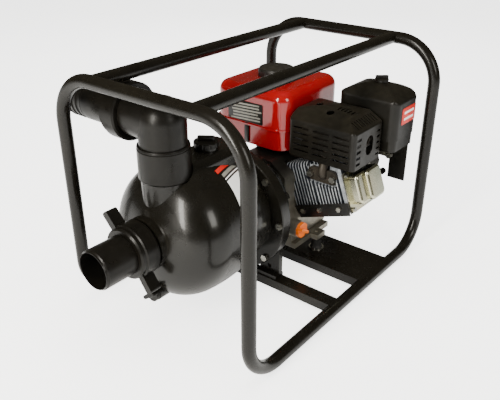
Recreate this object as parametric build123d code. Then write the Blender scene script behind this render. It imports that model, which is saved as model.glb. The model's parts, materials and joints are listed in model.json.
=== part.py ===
"""Portable fire pump: a tube frame round a moulded self-priming pump and a small petrol engine.

Millimetres, +Z up.  Pieces are drawn about the middle of the frame's footprint: X runs across, with
the cylinder head on +X, Y runs along the crankshaft, with the suction port at -Y, and the floor is
Z = 0.  write_pieces() moves them all so that the origin is the middle of the bounding box's base.
"""
import os
from math import atan2, cos, degrees, radians, sin

from build123d import *

# Frame of bent steel tube.  Lengths are between tube centre-lines.
TUBE_OD = 25.4
TUBE_WALL = 1.6
FRAME_WIDTH = 433.0
FRAME_LENGTH = 626.0
FRAME_TOP = 479.0
RUNNER_Z = TUBE_OD / 2
TOP_BEND = 88.0
FOOT_BEND = 78.0
FOOT_STUB = 20.0
LEFT_RAIL_X = -123.0
RIGHT_RAIL_X = 111.0
DECK_Z = 25.4
SHEET = 3.0
LIP_BOTTOM = 5.4
CROSSMEMBER_Y = (-52.0, -22.0)
ENGINE_PLATE_Y = (62.0, 179.0)

# Crankshaft axis, shared by the engine, the impeller and the pump casing.
SHAFT_X = -40.0
SHAFT_Z = 160.0
SHAFT_R = 9.5

# Pump casing.  Stations along Y.
FLANGE_Y = -38.0
FLANGE_T = 12.0
FLANGE_R = 133.0
BOLT_CIRCLE_R = 124.0
BOLT_COUNT = 8
BOWL_Z = 163.0            # height of the bowl's own axis where it leaves the flange
BOWL_TILT = 8.0           # and its upward lean towards the suction end
BOWL_NECK_R = 103.0
BOWL_R = 134.0
BOWL_LENGTH = 160.0
BOWL_CORNER = 79.0
BOWL_NOSE = 90.0
CASING_WALL = 5.0
SUCTION_Z = 189.0
SUCTION_BOSS_R = 46.0
SUCTION_FACE_Y = -330.0
SUCTION_BORE_R = 34.0
TAIL_R = 38.0
TAIL_BORE_R = 34.5
TAIL_MOUTH_Y = -417.0
NUT_R = 52.0
NUT_Y = (-348.0, -306.0)
NECK_Y = -236.0
NECK_R = 44.0
NECK_BORE_R = 34.0
NECK_TOP_Z = 352.0
UNION_R = 48.5
UNION_Z = (302.0, 366.0)
ELBOW_Z = 410.0
ELBOW_R = 44.0
ELBOW_FACE_X = -122.0
DISCHARGE_NUT_R = 54.0
DISCHARGE_NUT_X = (-150.0, -108.0)
DISCHARGE_MOUTH_X = -275.0
PRIMING_Y = -125.0
HUMP_TOP_Z = 321.0
HUMP_HALF = 42.0

# Engine.  The cylinder leans back from the horizontal by TILT.
TILT = 20.0
PTO_Y = 28.0
COVER_T = 34.0
CRANKCASE_END_Y = 176.0
BASE_Z = 54.0
BASE_X = (-132.0, 60.0)
CYLINDER_Y = 128.0
FIN_HALF_Y = 50.0
FIN_HALF_V = 52.0
BORE_R = 34.0
STROKE = 54.0
BLOCK_FINS = (66.0, 128.0)
HEAD = (130.0, 200.0)
VALVE_COVER_TOP = 237.0
FIN_PITCH = 7.6
FIN_T = 2.6

# Engine top furniture, as (low, high) limits.
TANK_X = (-192.0, 5.0)
TANK_Y = (68.0, 286.0)
TANK_Z = (258.0, 386.0)
SEAM_Z = 304.0
MUFFLER_X = (10.0, 171.0)
MUFFLER_Y = (74.0, 188.0)
MUFFLER_Z = (258.0, 362.0)
FILTER_X = (56.0, 197.0)
FILTER_Y = (191.0, 291.0)
FILTER_Z = (292.0, 399.0)
SHROUD_Y = (178.0, 240.0)
RECOIL_Y = (240.0, 288.0)
FLYWHEEL_R = 88.0

# Pump details.
DRAIN = (-32.0, -290.0, 80.0)          # middle of the drain plug's seat
FLAP_Y = -268.0
RIDGE_PITCH = 13.0                     # of the hose tail's ridges

# Engine details.
MOUNT_X = (SHAFT_X - 88, SHAFT_X + 106)
MOUNT_Y = 120.0
STUD_R = 4.9
DRAIN_BOLT = (34.0, 74.0)              # X and Z
OIL_X = 70.0
OIL_Y = 45.0
OIL_Z = 106.0
EXHAUST = (94.0, 227.0)                # X and Z of the exhaust port, on the head's pump side
INTAKE = (112.0, 222.0)                # X and Z of the intake port, on the flywheel side
RECESS_Y = 91.0                        # the flat that the exhaust flange seats on
COVER_Y = (CYLINDER_Y - 49, CYLINDER_Y + 53)
COVER_V = (-70, 17)                    # the valve cover's limits across the cylinder
SHIELD_BOLTS = (84.0, 128.0, 178.0)    # along the cylinder
SHIELD_BOLT_V = -FIN_HALF_V - 4
PISTON_TOP = BLOCK_FINS[1] - 1.0
FLYWHEEL_Y = (188.0, 226.0)

# Furniture details.
GRIP_BASE = (-128.0, 262.0, 176.0)
FILLER = (-102.0, 180.0)               # X and Y of the tank's filler
STRIP = 34.0                           # width of the guard's sloping strip
GUARD_T = 1.6
GUARD_SCREWS = ((MUFFLER_X[0] + 36, MUFFLER_Y[0] + 62), (MUFFLER_X[0] + 78, MUFFLER_Y[0] + 38))
GUARD_SCREW_Z = 334.0
KNOB = (127.0, 248.0)                  # X and Y of the air cleaner's knob
CARB_X = INTAKE[0] + 8
CARB_Y = (CYLINDER_Y + FIN_HALF_Y + 8, 240.0)
CARB_Z = INTAKE[1]
CHOKE = (CARB_X + 14, CARB_Y[1] + 2.0, CARB_Z + 18)
FUEL_VALVE = (CARB_X + 6, CARB_Y[1] + 2.0, CARB_Z - 24)
THROTTLE_PIVOT = (46.0, 243.0, 226.0)
SWITCH = (20.0, 240.3, 232.0)
PIVOT_R = 3.0

# Fits.
RUNNING = 0.05          # radial clearance of a shaft in its bearing
FREE = 0.3              # gap kept round anything else that moves

TURNS = {
    "+x": Rot(0, 90, 0),
    "-x": Rot(0, -90, 0),
    "+y": Rot(-90, 0, 0),
    "-y": Rot(90, 0, 0),
    "+z": Rot(0, 0, 0),
    "-z": Rot(180, 0, 0),
}
UPWARD = (Align.CENTER, Align.CENTER, Align.MIN)


# ---------------------------------------------------------------- shapes used throughout
def block(x, y, z):
    """A box from its (low, high) limits along each axis."""
    middle = Pos((x[0] + x[1]) / 2, (y[0] + y[1]) / 2, (z[0] + z[1]) / 2)
    return middle * Box(x[1] - x[0], y[1] - y[0], z[1] - z[0])


def soft_block(x, y, z, corner, edge=0.0):
    """A box with rounded upright corners and, with edge, rounded top edges."""
    body = block(x, y, z)
    body = fillet(body.edges().filter_by(Axis.Z), corner)
    if edge:
        body = fillet(body.faces().sort_by(Axis.Z)[-1].edges(), edge)
    return body


def rod(base, way, radius, length):
    """A cylinder that starts at base and runs towards way, such as "-y"."""
    return Pos(*base) * TURNS[way] * Cylinder(radius, length, align=UPWARD)


def pipe(base, way, outer, inner, length):
    """A hollow cylinder."""
    return rod(base, way, outer, length) - rod(base, way, inner, length)


def turned(base, way, profile):
    """A turned solid from a closed outline of (radius, distance along way)."""
    outline = Polyline(*[(r, 0, h) for r, h in profile], close=True)
    return Pos(*base) * TURNS[way] * revolve(make_face(outline), Axis.Z)


def bolt(base, way, across, head, radius, length):
    """A hexagon bolt: head on the way side of base, shank on the other."""
    hexagon = extrude(RegularPolygon(across / 2, 6, major_radius=False), head)
    shank = Pos(0, 0, -length) * Cylinder(radius, length + head / 2, align=UPWARD)
    return Pos(*base) * TURNS[way] * (hexagon + shank)


def around_shaft(radius, angle, y):
    """The point at radius and angle, in degrees from +X, round the shaft axis."""
    a = radians(angle)
    return (SHAFT_X + radius * cos(a), y, SHAFT_Z + radius * sin(a))


def lean(shape):
    """Tips a shape drawn with its cylinder along +X about the shaft axis."""
    return Pos(SHAFT_X, 0, SHAFT_Z) * Rot(0, -TILT, 0) * shape


def parts_of(shapes):
    """Several separate solids kept together in one node."""
    return Compound(children=[solid for shape in shapes for solid in shape.solids()])


# ---------------------------------------------------------------- frame
def hoop(y, inward, radius):
    """An inverted U whose legs bend into the runners; inward is +1 or -1 along Y."""
    side = FRAME_WIDTH / 2
    foot_y = y + inward * (FOOT_BEND + FOOT_STUB)
    route = [
        (-side, foot_y, RUNNER_Z),
        (-side, y, RUNNER_Z),
        (-side, y, FRAME_TOP),
        (side, y, FRAME_TOP),
        (side, y, RUNNER_Z),
        (side, foot_y, RUNNER_Z),
    ]
    path = FilletPolyline(*route, radius=[FOOT_BEND, TOP_BEND, TOP_BEND, FOOT_BEND])
    section = Plane(origin=path @ 0, z_dir=path % 0) * Circle(radius)
    return sweep(section, path)


def frame_pieces():
    outer = TUBE_OD / 2
    inner = outer - TUBE_WALL
    half = FRAME_LENGTH / 2
    side = FRAME_WIDTH / 2
    pieces = {
        "front_hoop": hoop(-half, 1, outer) - hoop(-half, 1, inner),
        "rear_hoop": hoop(half, -1, outer) - hoop(half, -1, inner),
    }
    weld_y = half - FOOT_BEND - FOOT_STUB
    pieces["runners"] = parts_of(
        pipe((x, -weld_y, RUNNER_Z), "+y", outer, inner, 2 * weld_y) for x in (-side, side))
    hoops = hoop(-half, 1, outer) + hoop(half, -1, outer)
    pieces["top_rails"] = parts_of(
        pipe((x, -half, FRAME_TOP), "+y", outer, inner, FRAME_LENGTH) - hoops
        for x in (LEFT_RAIL_X, RIGHT_RAIL_X))

    runners = rod((-side, -half, RUNNER_Z), "+y", outer, FRAME_LENGTH)
    runners += rod((side, -half, RUNNER_Z), "+y", outer, FRAME_LENGTH)
    pieces["front_crossmember"] = lipped_plate(CROSSMEMBER_Y) - runners
    engine_plate = lipped_plate(ENGINE_PLATE_Y) - runners
    for x in MOUNT_X:
        engine_plate -= rod((x, MOUNT_Y, DECK_Z - SHEET - 1), "+z", STUD_R, 6)
    pieces["engine_plate"] = engine_plate
    return pieces


def lipped_plate(y):
    """A sheet between the runners, folded down along its front and rear edges."""
    across = (-FRAME_WIDTH / 2, FRAME_WIDTH / 2)
    plate = block(across, y, (DECK_Z - SHEET, DECK_Z))
    plate += block(across, (y[0], y[0] + SHEET), (LIP_BOTTOM, DECK_Z))
    plate += block(across, (y[1] - SHEET, y[1]), (LIP_BOTTOM, DECK_Z))
    return plate


# ---------------------------------------------------------------- pump
def bowl_of_revolution(shrink):
    """The bulging bowl behind the flange, turned about its slightly tilted axis."""
    neck, widest, corner = BOWL_NECK_R - shrink, BOWL_R - shrink, BOWL_CORNER - shrink
    tip = BOWL_LENGTH + BOWL_NOSE - shrink
    corner_x = widest - corner
    rise = tip - BOWL_LENGTH
    nose = (corner_x ** 2 + rise ** 2 - corner ** 2) / (2 * (rise - corner))
    turn = atan2(rise - nose, -corner_x) - radians(180)
    meet = (corner_x + corner * cos(turn), BOWL_LENGTH + corner * sin(turn))
    outline = Line((0, -40), (neck, -40)) + Line((neck, -40), (neck, 0))
    outline += TangentArc((widest, BOWL_LENGTH), (neck, 0), tangent=(0, -1))
    outline += TangentArc((widest, BOWL_LENGTH), meet, tangent=(0, 1))
    outline += TangentArc(meet, (0, tip), tangent=(-sin(turn), cos(turn)))
    outline += Line((0, tip), (0, -40))
    bowl = revolve(make_face(outline), Axis.Y)
    return Pos(SHAFT_X, FLANGE_Y - FLANGE_T, BOWL_Z) * Rot(-BOWL_TILT, 0, 0) * Rot(0, 0, 180) * bowl


def casing_form(shrink):
    """The casing's outside form, or its cavity when shrink is the wall's thickness."""
    hump_x = (SHAFT_X - HUMP_HALF + shrink, SHAFT_X + HUMP_HALF - shrink)
    hump_y = (NECK_Y, FLANGE_Y - FLANGE_T - 14 - shrink)
    hump = block(hump_x, hump_y, (SHAFT_Z, HUMP_TOP_Z - shrink))
    hump = fillet(hump.faces().sort_by(Axis.Z)[-1].edges().filter_by(Axis.Y), 16)
    form = bowl_of_revolution(shrink) + hump
    form -= rod((SHAFT_X, NECK_Y, UNION_Z[0] - 1 - shrink), "+z", UNION_R + 2 + shrink, 60)
    neck_height = UNION_Z[0] - SHAFT_Z - 1 - shrink
    return form + rod((SHAFT_X, NECK_Y, SHAFT_Z), "+z", NECK_R + 1 - shrink, neck_height)


def casing_bowl():
    body = casing_form(0) - casing_form(CASING_WALL)
    body += rod((SHAFT_X, SUCTION_FACE_Y, SUCTION_Z), "+y", SUCTION_BOSS_R, 60)
    body += rod((SHAFT_X, NUT_Y[1] + 3, SUCTION_Z), "+y", SUCTION_BOSS_R + 5, 33)
    body += rod((SHAFT_X, NECK_Y, UNION_Z[0] - 12), "+z", NECK_R - 2, NECK_TOP_Z - UNION_Z[0] + 12)
    body += rod((SHAFT_X, PRIMING_Y, HUMP_TOP_Z - 5), "+z", 24, 11)
    body += rod((DRAIN[0], DRAIN[1] + 54, DRAIN[2]), "-y", 16, 54)
    body -= rod((SHAFT_X, SUCTION_FACE_Y - 1, SUCTION_Z), "+y", SUCTION_BORE_R, 100)
    body -= rod((SHAFT_X, NECK_Y, SHAFT_Z), "+z", NECK_BORE_R, 250)
    body -= rod((SHAFT_X, PRIMING_Y, HUMP_TOP_Z - 20), "+z", 17, 40)
    body -= rod((DRAIN[0], DRAIN[1] + 50, DRAIN[2]), "-y", 9, 60)
    body -= block((-300, 300), (FLANGE_Y, 100), (0, 400))
    flange = pipe((SHAFT_X, FLANGE_Y, SHAFT_Z), "-y", FLANGE_R, BOWL_NECK_R - CASING_WALL - 3, FLANGE_T)
    body += chamfer(flange.faces().sort_by(Axis.Y)[0].edges().sort_by(SortBy.RADIUS)[-1], 2)
    for hole in flange_bolt_tools(4.2):
        body -= hole
    return body


def flange_bolt_tools(radius):
    """Bolt shank cylinders through the casing's and adapter's flanges."""
    tools = []
    for i in range(BOLT_COUNT):
        angle = i * 360 / BOLT_COUNT
        tools.append(rod(around_shaft(BOLT_CIRCLE_R, angle, FLANGE_Y - FLANGE_T - 1), "+y", radius, 30))
    return tools


def adapter():
    """The dished plate between casing and engine, with its ribs and its bottom foot."""
    reach = PTO_Y - FLANGE_Y
    dish = turned(
        (SHAFT_X, FLANGE_Y, SHAFT_Z), "+y",
        [(0, 0), (FLANGE_R, 0), (FLANGE_R, 12), (116, 12), (98, reach - 10), (90, reach), (0, reach)],
    )
    for i in range(BOLT_COUNT):
        angle = i * 360 / BOLT_COUNT + 22.5
        rib = block((80, 126), (FLANGE_Y, PTO_Y - 10), (-3, 3))
        rib = chamfer(rib.edges().filter_by(Axis.Z).sort_by(lambda e: -e.center().X - e.center().Y)[0], 26)
        dish += Pos(SHAFT_X, 0, SHAFT_Z) * Rot(0, -angle, 0) * rib
    for side in (-1, 1):
        x_inner = SHAFT_X + side * 66
        x_outer = SHAFT_X + side * 116
        leg = block(sorted((x_inner, x_outer)), (FLANGE_Y, FLANGE_Y + 12), (DECK_Z, 96))
        leg -= rod((SHAFT_X + side * 91, FLANGE_Y - 1, 48), "+y", 5, 20)
        dish += leg
        foot_y = (CROSSMEMBER_Y[0] + 3, CROSSMEMBER_Y[1] - 1)
        dish += block(sorted((x_inner, x_outer)), foot_y, (DECK_Z, DECK_Z + 9))
    dish -= turned(
        (SHAFT_X, FLANGE_Y, SHAFT_Z), "+y",
        [(0, -1), (100, -1), (100, 6), (84, reach - 8), (22, reach - 8), (22, reach + 1), (0, reach + 1)],
    )
    for hole in flange_bolt_tools(4.2):
        dish -= hole
    return dish


def volute():
    """The spiral inner casing that surrounds the impeller and feeds the neck."""
    shell = turned(
        (SHAFT_X, FLANGE_Y - 8, SHAFT_Z), "-y",
        [(0, 0), (94, 0), (94, 44), (66, 58), (0, 58)],
    )
    shell -= turned(
        (SHAFT_X, FLANGE_Y - 8, SHAFT_Z), "-y",
        [(0, -1), (88, -1), (88, 40), (62, 52), (30, 52), (30, 59), (0, 59)],
    )
    outlet = rod((SHAFT_X + 60, FLANGE_Y - 30, SHAFT_Z + 30), "+z", 17, 40)
    outlet -= rod((SHAFT_X + 60, FLANGE_Y - 30, SHAFT_Z + 29), "+z", 13, 60)
    outlet -= rod((SHAFT_X, FLANGE_Y, SHAFT_Z), "-y", 90, 70)
    window = rod((SHAFT_X + 60, FLANGE_Y - 30, SHAFT_Z + 10), "+z", 13, 80)
    return shell - window + outlet


def barbed_tail(base, way, length, nut_end, ridges):
    """A hose tail: a collar at its root, relief under the nut, a plain wall and ridges at its mouth."""
    first_ridge = length - 5 - ridges * RIDGE_PITCH
    valley = TAIL_R - 1.8
    relief = TAIL_R - 0.5
    profile = [
        (TAIL_BORE_R, 0), (NECK_R - 2.5, 0), (NECK_R - 2.5, 7), (relief, 7), (relief, nut_end),
        (TAIL_R, nut_end), (TAIL_R, first_ridge),
    ]
    for i in range(ridges):
        start = first_ridge + i * RIDGE_PITCH
        profile += [(valley, start + 0.5), (TAIL_R, start + 2), (valley, start + 12)]
    profile += [(TAIL_R - 2, length - 3), (TAIL_R - 2.8, length), (TAIL_BORE_R, length)]
    return turned(base, way, profile)


def winged_nut(base, way, radius, bore, length, lip_bore, angles, reach):
    """A coupling nut: lip at its far end, grip ribs and two or more cast lugs."""
    nut = turned(
        base, way,
        [
            (bore, 0), (radius - 3, 0), (radius, 3), (radius, length - 12), (radius - 3, length - 10),
            (radius - 3, length - 3), (radius - 6, length), (lip_bore, length),
            (lip_bore, length - 5), (bore, length - 5),
        ],
    )
    for angle in angles:
        lug = Pos(0, 0, length / 2) * Box(reach - radius + 8, 15, 24)
        lug = fillet(lug.edges().filter_by(Axis.Z), 5)
        lug = Pos((reach + radius - 8) / 2, 0, 0) * lug
        nut += Pos(*base) * TURNS[way] * Rot(0, 0, angle) * lug
    return nut - rod(base, way, bore, length - 5)


def pump_pieces():
    pieces = {
        "casing_bowl": casing_bowl(),
        "adapter": adapter(),
        "volute": volute(),
    }
    bolts = []
    for i in range(BOLT_COUNT):
        angle = i * 360 / BOLT_COUNT
        seat = around_shaft(BOLT_CIRCLE_R, angle, FLANGE_Y - FLANGE_T)
        bolts.append(bolt(seat, "-y", 13, 6, 4.2, 24))
    pieces["flange_bolts"] = parts_of(bolts)
    pieces["suction_tail"] = barbed_tail(
        (SHAFT_X, SUCTION_FACE_Y - 3, SUCTION_Z), "-y", SUCTION_FACE_Y - 3 - TAIL_MOUTH_Y,
        SUCTION_FACE_Y - 3 - NUT_Y[0] + 1, 0)
    pieces["port_seals"] = parts_of([
        pipe((SHAFT_X, SUCTION_FACE_Y - 3, SUCTION_Z), "+y", NECK_R - 2.5, TAIL_BORE_R, 3),
        pipe((SHAFT_X, NECK_Y, NECK_TOP_Z), "+z", NECK_R - 2, NECK_BORE_R, 3),
    ])
    pieces["suction_nut"] = winged_nut(
        (SHAFT_X, NUT_Y[1], SUCTION_Z), "-y", NUT_R, SUCTION_BOSS_R + FREE,
        NUT_Y[1] - NUT_Y[0], TAIL_R + FREE, (132, 306), 84)
    pieces["neck_union"] = neck_union()
    pieces["discharge_elbow"] = discharge_elbow()
    pieces["discharge_seal"] = pipe(
        (ELBOW_FACE_X, NECK_Y, ELBOW_Z), "-x", NECK_R - 2.5, TAIL_BORE_R, 3)
    pieces["discharge_tail"] = barbed_tail(
        (ELBOW_FACE_X - 3, NECK_Y, ELBOW_Z), "-x", ELBOW_FACE_X - 3 - DISCHARGE_MOUTH_X,
        ELBOW_FACE_X - 3 - DISCHARGE_NUT_X[0] + 1, 4)
    pieces["discharge_nut"] = winged_nut(
        (DISCHARGE_NUT_X[1], NECK_Y, ELBOW_Z), "-x", DISCHARGE_NUT_R, ELBOW_R + FREE,
        DISCHARGE_NUT_X[1] - DISCHARGE_NUT_X[0], TAIL_R + FREE, (), 0)
    pieces["priming_cap"] = priming_cap()
    pieces["drain_plug"] = drain_plug()
    pieces["impeller"] = impeller()
    pieces["seal_seat"] = pipe((SHAFT_X, FLANGE_Y + 20, SHAFT_Z), "+y", 22, 15, 14)
    pieces["seal_ring"] = pipe((SHAFT_X, FLANGE_Y + 4, SHAFT_Z), "+y", 18, SHAFT_R + 2, 15.9)
    pieces["flap_seat"] = flap_seat()
    pieces["check_flap"] = check_flap()
    return pieces


def neck_union():
    """The large threaded ring that clamps the elbow to the casing's neck."""
    z0, z1 = UNION_Z
    height = z1 - z0
    return turned(
        (SHAFT_X, NECK_Y, z0), "+z",
        [
            (NECK_R - 2 + FREE, 0), (UNION_R - 2, 0), (UNION_R, 3), (UNION_R, height - 6),
            (UNION_R - 1.5, height - 5), (UNION_R - 1.5, height - 3.5), (UNION_R - 0.2, height - 3),
            (UNION_R - 1, height), (ELBOW_R + FREE, height), (ELBOW_R + FREE, 55), (NECK_R - 2 + FREE, 55),
        ],
    )


def elbow_form(radius):
    """The bent pipe of the elbow, solid."""
    path = FilletPolyline(
        (SHAFT_X, NECK_Y, UNION_Z[0] + 56), (SHAFT_X, NECK_Y, ELBOW_Z), (ELBOW_FACE_X, NECK_Y, ELBOW_Z),
        radius=34)
    section = Plane(origin=path @ 0, z_dir=path % 0) * Circle(radius)
    return sweep(section, path)


def discharge_elbow():
    elbow = elbow_form(ELBOW_R - 6)
    corner = (SHAFT_X, NECK_Y, ELBOW_Z)
    elbow += rod((SHAFT_X, NECK_Y, UNION_Z[0] + 56), "+z", ELBOW_R, ELBOW_Z - UNION_Z[0] - 56)
    elbow += rod(corner, "-x", ELBOW_R - 1, SHAFT_X - ELBOW_FACE_X)
    elbow += Pos(*corner) * Sphere(ELBOW_R)
    elbow -= elbow_form(NECK_BORE_R)
    return elbow


def priming_cap():
    """Knurled screw cap with a raised grip bar."""
    seat_z = HUMP_TOP_Z + 6
    cap = rod((SHAFT_X, PRIMING_Y, seat_z), "+z", 25, 11)
    cap = fillet(cap.faces().sort_by(Axis.Z)[-1].edges(), 3)
    for i in range(12):
        notch = rod((27, 0, -1), "+z", 3, 14)
        cap -= Pos(SHAFT_X, PRIMING_Y, seat_z) * Rot(0, 0, i * 30) * notch
    bar = soft_block((-17, 17), (-5, 5), (10, 20), 4, 2)
    cap += Pos(SHAFT_X, PRIMING_Y, seat_z) * Rot(0, 0, 35) * bar
    cap += rod((SHAFT_X, PRIMING_Y, seat_z - 16), "+z", 17 - FREE, 17)
    return cap


def drain_plug():
    plug = rod(DRAIN, "-y", 15, 9)
    plug += rod((DRAIN[0], DRAIN[1] + 14, DRAIN[2]), "-y", 9 - FREE, 15)
    wing = soft_block((-18, 18), (-4, 4), (8, 18), 3.5, 2)
    return plug + Pos(*DRAIN) * TURNS["-y"] * Rot(0, 0, 35) * wing


def impeller():
    """An open impeller: back disc, hub and curved vanes."""
    face_y = FLANGE_Y - 12
    disc = rod((SHAFT_X, face_y, SHAFT_Z), "-y", 72, 4)
    hub = rod((SHAFT_X, face_y, SHAFT_Z), "-y", 20, 34)
    wheel = disc + hub
    for i in range(4):
        vane = pipe((34, face_y - 3, 0), "-y", 36, 32.5, 26)
        vane &= block((16, 71), (face_y - 40, face_y), (2, 72))
        wheel += Pos(SHAFT_X, 0, SHAFT_Z) * Rot(0, i * 90, 0) * vane
    wheel &= rod((SHAFT_X, face_y, SHAFT_Z), "-y", 72, 34)
    wheel -= rod((SHAFT_X, face_y + 1, SHAFT_Z), "-y", SHAFT_R, 28)
    return wheel


def flap_seat():
    """The ring behind the suction port that the check flap closes on."""
    seat = pipe((SHAFT_X, FLAP_Y - 8, SUCTION_Z), "+y", SUCTION_BORE_R, 28, 8)
    for side in (-1, 1):
        seat += block(
            sorted((SHAFT_X + side * 8, SHAFT_X + side * 13)), (FLAP_Y - 8, FLAP_Y + 10),
            (SUCTION_Z + 22, SUCTION_Z + 31))
    seat -= rod((SHAFT_X - 20, FLAP_Y + 6, SUCTION_Z + 27), "+x", 2.0, 40)
    seat -= rod((SHAFT_X, FLAP_Y - 9, SUCTION_Z), "+y", 27, 9)
    return seat


def check_flap():
    """A rubber-faced flap with its hinge pin along X."""
    disc = rod((SHAFT_X, FLAP_Y + 0.4, SUCTION_Z - 4), "+y", 27.5, 4)
    disc -= block((SHAFT_X - 40, SHAFT_X + 40), (FLAP_Y - 5, FLAP_Y + 10), (SUCTION_Z + 20, SUCTION_Z + 60))
    arm = block((SHAFT_X - 6, SHAFT_X + 6), (FLAP_Y + 3, FLAP_Y + 8), (SUCTION_Z - 8, SUCTION_Z + 29))
    pin = rod((SHAFT_X - 13, FLAP_Y + 6, SUCTION_Z + 27), "+x", 2.0 - RUNNING, 26)
    return disc + arm + pin


# ---------------------------------------------------------------- engine block


def engine_mounts():
    """Two rubber mounts with their washers and studs, on the engine plate."""
    rubber, hardware = [], []
    height = BASE_Z - DECK_Z - 2.5
    for x in MOUNT_X:
        hardware.append(pipe((x, MOUNT_Y, DECK_Z), "+z", 17, STUD_R, 2.5))
        hardware.append(rod((x, MOUNT_Y, DECK_Z - SHEET - 10), "+z", STUD_R, BASE_Z - DECK_Z + 22))
        rubber.append(turned(
            (x, MOUNT_Y, DECK_Z + 2.5), "+z",
            [(STUD_R, 0), (14, 0), (11.5, 6), (11.5, height - 6), (14, height), (STUD_R, height)]))
    return {"rubber_mounts": parts_of(rubber), "mount_hardware": parts_of(hardware)}


def crankcase_section(grow):
    """The crankcase's outline across the engine, as a face at Y = 0."""
    with BuildSketch(Plane.XZ) as drawn:
        with BuildLine():
            Polyline(
                (BASE_X[0] + 12 - grow, BASE_Z + 8 - grow), (BASE_X[1] - 12 + grow, BASE_Z + 8 - grow),
                (BASE_X[1] - 8 + grow, 118), (28 + grow, 146), (28 + grow, 216), (SHAFT_X + 30, 244 + grow),
                (SHAFT_X - 52, 244 + grow), (BASE_X[0] + 22 - grow, 200), (BASE_X[0] + 12 - grow, 130),
                close=True)
        make_face()
        fillet(drawn.vertices(), 12)
    return drawn.sketch


def crankcase():
    """Main casting: hollow, open towards the side cover, with its base flange and bearing boss."""
    length = CRANKCASE_END_Y - PTO_Y - COVER_T
    body = Pos(0, CRANKCASE_END_Y, 0) * extrude(crankcase_section(0), length)
    cavity = Pos(0, CRANKCASE_END_Y - 8, 0) * extrude(crankcase_section(-7), length)
    cylinder_root = lean(block((40, BLOCK_FINS[0]), (CYLINDER_Y - 43, CYLINDER_Y + 43), (-43, 43)))
    body += cylinder_root
    body += block(BASE_X, (PTO_Y + COVER_T, CRANKCASE_END_Y), (BASE_Z, BASE_Z + 12))
    for x in MOUNT_X:
        body += block((x - 16, x + 12), (MOUNT_Y - 16, MOUNT_Y + 16), (BASE_Z, BASE_Z + 12))
    body -= cavity
    body -= lean(rod((0, CYLINDER_Y, 0), "+x", BORE_R + 3, 90))
    body -= block((-2, 60), (CYLINDER_Y - FIN_HALF_Y - 1, RECESS_Y), (205, 260))
    body -= rod((SHAFT_X, CRANKCASE_END_Y - 20, SHAFT_Z), "+y", 17.5, 30)
    for x in MOUNT_X:
        body -= rod((x, MOUNT_Y, BASE_Z - 1), "+z", STUD_R, 14)
    return body


def crankcase_cover():
    """The side cover on the pump's side, with its bearing boss, oil filler and drain bosses."""
    body = Pos(0, PTO_Y + COVER_T, 0) * extrude(crankcase_section(2), COVER_T - 12)
    body += Pos(0, PTO_Y + COVER_T, 0) * extrude(crankcase_section(-8), COVER_T - 4)
    body += block((BASE_X[0] + 10, BASE_X[1]), (PTO_Y + 14, PTO_Y + COVER_T), (BASE_Z, BASE_Z + 12))
    body += rod((SHAFT_X, PTO_Y, SHAFT_Z), "+y", 60, COVER_T)
    for angle in (20, 70, 110, 160, 200, 250, 290, 340):
        rib = block((50, 84), (PTO_Y + 5, PTO_Y + 14), (-2.5, 2.5))
        body += Pos(SHAFT_X, 0, SHAFT_Z) * Rot(0, -angle, 0) * rib
    body += rod((40, OIL_Y, OIL_Z), "+x", 19, OIL_X - 40)
    body &= block((-300, 300), (PTO_Y, PTO_Y + COVER_T), (0, 400))
    body -= Pos(0, PTO_Y + COVER_T + 1, 0) * extrude(crankcase_section(-7), COVER_T - 14)
    body -= rod((SHAFT_X, PTO_Y - 1, SHAFT_Z), "+y", 17.5, 40)
    body -= rod((10, OIL_Y, OIL_Z), "+x", 13, 80)
    body -= rod((DRAIN_BOLT[0], PTO_Y - 1, DRAIN_BOLT[1]), "+y", 5, 20)
    return body - rod((DRAIN_BOLT[0], PTO_Y - 1, DRAIN_BOLT[1]), "+y", 9, 13)


def oil_cap():
    cap = rod((OIL_X, OIL_Y, OIL_Z), "+x", 17, 7)
    for i in range(8):
        cap -= Pos(OIL_X, OIL_Y, OIL_Z) * Rot(0, 90, 0) * Rot(0, 0, i * 45) * rod((19, 0, -1), "+z", 3.2, 9)
    cap += rod((OIL_X - 16, OIL_Y, OIL_Z), "+x", 13 - FREE, 17)
    grip = soft_block((-15, 15), (-4, 4), (6, 15), 3.5, 2)
    cap += Pos(OIL_X, OIL_Y, OIL_Z) * Rot(0, 90, 0) * Rot(0, 0, 60) * grip
    cap += rod((OIL_X - 50, OIL_Y, OIL_Z), "+x", 3, 36)
    return cap


def finned(along, fin_v, root_v):
    """Cooling fins round a root, drawn along +X before leaning; along is (start, end)."""
    y = (CYLINDER_Y - FIN_HALF_Y, CYLINDER_Y + FIN_HALF_Y)
    root_y = (CYLINDER_Y - FIN_HALF_Y + 9, CYLINDER_Y + FIN_HALF_Y - 9)
    body = block(along, root_y, (-root_v, root_v))
    count = int((along[1] - along[0] - FIN_T) / FIN_PITCH)
    for i in range(count + 1):
        x = along[0] + i * FIN_PITCH
        fin = block((x, x + FIN_T), y, (-fin_v, fin_v))
        body += fillet(fin.edges().filter_by(Axis.X), 10)
    return body


def exhaust_recess():
    """The space cut out of the fins round the exhaust flange."""
    low = CYLINDER_Y - FIN_HALF_Y - 1
    space = block((EXHAUST[0] - 36, EXHAUST[0] + 38), (low, RECESS_Y), (EXHAUST[1] - 18, EXHAUST[1] + 90))
    space = fillet(space.edges().filter_by(Axis.Y), 10)
    return space + block((EXHAUST[0] - 10, EXHAUST[0] + 14), (RECESS_Y - 2, 124), (EXHAUST[1] + 12, 330))


def cylinder_barrel():
    """The finned barrel between crankcase and head."""
    body = lean(finned(BLOCK_FINS, FIN_HALF_V, 42))
    body -= exhaust_recess()
    return body - lean(rod((0, CYLINDER_Y, 0), "+x", BORE_R, 200))


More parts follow.
